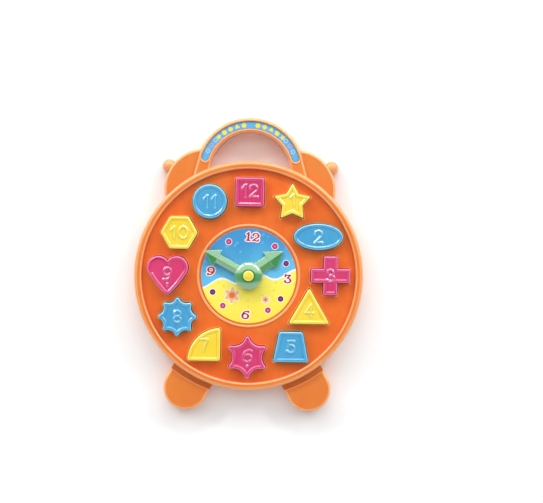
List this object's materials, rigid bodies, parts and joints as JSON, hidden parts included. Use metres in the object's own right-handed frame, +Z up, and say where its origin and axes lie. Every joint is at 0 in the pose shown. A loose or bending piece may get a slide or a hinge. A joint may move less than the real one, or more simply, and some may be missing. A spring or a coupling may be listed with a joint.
{
  "type": "learning clock toy",
  "caption": "Round clock-shaped shape sorter with a carrying handle, bells and feet, turning hands over a printed dial, and lift-out numbered shape blocks in matching wells.",
  "frame": {"origin": "centre of the clock's own box, on the surface that its open back lies on", "axes": "+Z up out of the dial, +Y towards twelve o'clock and the handle, +X towards three o'clock"},
  "size_m": [0.214, 0.2723, 0.028],
  "materials": {
    "orange_plastic": "glossy moulded polypropylene, solid colour",
    "pink_plastic": "glossy moulded polypropylene, solid colour",
    "cyan_plastic": "glossy moulded polypropylene, solid colour",
    "yellow_plastic": "glossy moulded polypropylene, solid colour",
    "green_plastic": "glossy moulded polypropylene, solid colour",
    "pin_plastic": "glossy moulded plastic, solid colour",
    "dial_print": "printed vinyl sticker in blue and yellow with plain numbers and dots",
    "band_print": "printed vinyl sticker in light blue with plain rings and dots"
  },
  "bodies": {
    "body": {"body_shell": "orange_plastic", "dial_label": "dial_print", "handle_label": "band_print", "centre_pin": "pin_plastic"},
    "hour_hand": {"hour_hand": "green_plastic"},
    "minute_hand": {"minute_hand": "green_plastic"},
    "block_1_star": {"block_1_star": "yellow_plastic"},
    "block_2_oval": {"block_2_oval": "cyan_plastic"},
    "block_3_plus": {"block_3_plus": "pink_plastic"},
    "block_4_triangle": {"block_4_triangle": "yellow_plastic"},
    "block_5_trapezoid": {"block_5_trapezoid": "cyan_plastic"},
    "block_6_six_point_star": {"block_6_six_point_star": "pink_plastic"},
    "block_7_quarter_circle": {"block_7_quarter_circle": "yellow_plastic"},
    "block_8_eight_point_star": {"block_8_eight_point_star": "cyan_plastic"},
    "block_9_heart": {"block_9_heart": "pink_plastic"},
    "block_10_hexagon": {"block_10_hexagon": "yellow_plastic"},
    "block_11_disc": {"block_11_disc": "cyan_plastic"},
    "block_12_square": {"block_12_square": "pink_plastic"}
  },
  "joints": [
    {"name": "hour_hand_turn", "type": "hinge", "parent": "body", "child": "hour_hand", "pos_m": [0, -0.01065, 0.018], "axis": [0, 0, 1], "continuous": true},
    {"name": "minute_hand_turn", "type": "hinge", "parent": "body", "child": "minute_hand", "pos_m": [0, -0.01065, 0.022], "axis": [0, 0, 1], "continuous": true},
    {"name": "block_1_star_lift", "type": "slide", "parent": "body", "child": "block_1_star", "axis": [0, 0, 1], "range_m": [0, 0.03]},
    {"name": "block_2_oval_lift", "type": "slide", "parent": "body", "child": "block_2_oval", "axis": [0, 0, 1], "range_m": [0, 0.03]},
    {"name": "block_3_plus_lift", "type": "slide", "parent": "body", "child": "block_3_plus", "axis": [0, 0, 1], "range_m": [0, 0.03]},
    {"name": "block_4_triangle_lift", "type": "slide", "parent": "body", "child": "block_4_triangle", "axis": [0, 0, 1], "range_m": [0, 0.03]},
    {"name": "block_5_trapezoid_lift", "type": "slide", "parent": "body", "child": "block_5_trapezoid", "axis": [0, 0, 1], "range_m": [0, 0.03]},
    {"name": "block_6_six_point_star_lift", "type": "slide", "parent": "body", "child": "block_6_six_point_star", "axis": [0, 0, 1], "range_m": [0, 0.03]},
    {"name": "block_7_quarter_circle_lift", "type": "slide", "parent": "body", "child": "block_7_quarter_circle", "axis": [0, 0, 1], "range_m": [0, 0.03]},
    {"name": "block_8_eight_point_star_lift", "type": "slide", "parent": "body", "child": "block_8_eight_point_star", "axis": [0, 0, 1], "range_m": [0, 0.03]},
    {"name": "block_9_heart_lift", "type": "slide", "parent": "body", "child": "block_9_heart", "axis": [0, 0, 1], "range_m": [0, 0.03]},
    {"name": "block_10_hexagon_lift", "type": "slide", "parent": "body", "child": "block_10_hexagon", "axis": [0, 0, 1], "range_m": [0, 0.03]},
    {"name": "block_11_disc_lift", "type": "slide", "parent": "body", "child": "block_11_disc", "axis": [0, 0, 1], "range_m": [0, 0.03]},
    {"name": "block_12_square_lift", "type": "slide", "parent": "body", "child": "block_12_square", "axis": [0, 0, 1], "range_m": [0, 0.03]}
  ]
}
